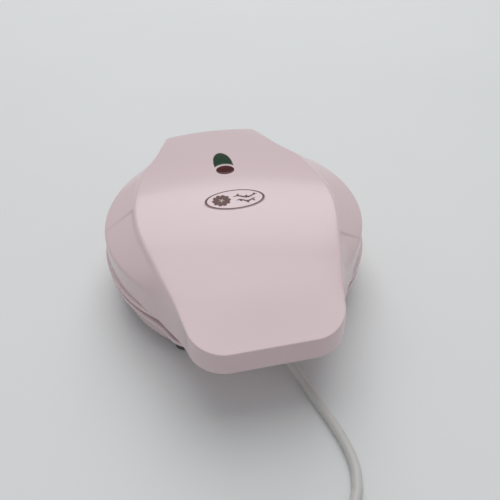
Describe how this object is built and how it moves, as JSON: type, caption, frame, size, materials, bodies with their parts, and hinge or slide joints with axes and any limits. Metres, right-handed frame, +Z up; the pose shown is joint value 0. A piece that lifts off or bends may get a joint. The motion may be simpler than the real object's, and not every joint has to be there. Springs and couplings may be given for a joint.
{
  "type": "waffle maker",
  "caption": "Round electric waffle maker for heart waffles: hinged lid with a broad raised band and handle, two cast plates, indicator lamps, coiled mains lead.",
  "frame": {"origin": "on the table, under the middle of the appliance's own bounding box, with the mains lead left out", "axes": "+Z up, -Y towards the handle, +Y towards the hinge, +X to the right as seen from the handle"},
  "size_m": [0.222, 0.4615, 0.0862],
  "materials": {
    "pink_gloss": "high-gloss injection-moulded PP",
    "nonstick_cast_aluminium": "cast aluminium with a black non-stick coating",
    "element_steel": "sheathed heating element",
    "aluminised_sheet": "bright pressed sheet",
    "zinc_steel": "zinc-plated screws and pins",
    "foot_rubber": "moulded rubber",
    "silicone_sleeve": "glass-fibre sleeve with silicone",
    "white_pvc": "soft PVC",
    "green_lens": "polished tinted polycarbonate",
    "red_lens": "polished tinted polycarbonate",
    "badge_print": "printed and lacquered badge",
    "paper_board": "phenolic board",
    "neon_glass": "clear glass envelope",
    "steatite": "ceramic-filled moulding",
    "nickel_brass": "nickel-plated brass"
  },
  "bodies": {
    "base": {"base_shell": "pink_gloss", "bottom_cover": "pink_gloss", "hinge_arm_left": "pink_gloss", "hinge_arm_right": "pink_gloss", "hinge_pin_left": "zinc_steel", "hinge_pin_right": "zinc_steel", "lower_plate": "nonstick_cast_aluminium", "lower_element": "element_steel", "lower_reflector": "aluminised_sheet", "lower_plate_screw_1": "zinc_steel", "lower_plate_screw_2": "zinc_steel", "lower_plate_screw_3": "zinc_steel", "thermostat": "steatite", "thermal_fuse": "nickel_brass", "terminal_block": "steatite", "cord_clamp": "steatite", "cover_screw_1": "zinc_steel", "cover_screw_2": "zinc_steel", "cover_screw_3": "zinc_steel", "cover_screw_4": "zinc_steel", "foot_front_left": "foot_rubber", "foot_front_right": "foot_rubber", "foot_rear_left": "foot_rubber", "foot_rear_right": "foot_rubber", "lead_sleeve_base": "silicone_sleeve", "strain_relief": "white_pvc", "cord_lead": "white_pvc", "cord_coil": "white_pvc", "cord_tail": "white_pvc", "plug_body": "white_pvc", "plug_pin_left": "nickel_brass", "plug_pin_right": "nickel_brass"},
    "lid": {"lid_shell": "pink_gloss", "lid_frame": "pink_gloss", "handle_cover": "pink_gloss", "lid_hinge": "pink_gloss", "handle_screw_left": "zinc_steel", "handle_screw_right": "zinc_steel", "lamp_lens_green": "green_lens", "lamp_lens_red": "red_lens", "lamp_board": "paper_board", "neon_red": "neon_glass", "neon_green": "neon_glass", "badge": "badge_print", "upper_plate": "nonstick_cast_aluminium", "upper_element": "element_steel", "upper_reflector": "aluminised_sheet", "upper_plate_screw_1": "zinc_steel", "upper_plate_screw_2": "zinc_steel", "upper_plate_screw_3": "zinc_steel", "lead_sleeve_lid": "silicone_sleeve"}
  },
  "joints": [
    {"name": "lid_hinge_joint", "type": "hinge", "parent": "base", "child": "lid", "pos_m": [0, 0.13315, 0.03], "axis": [-1, 0, 0], "range_deg": [0, 98]}
  ]
}
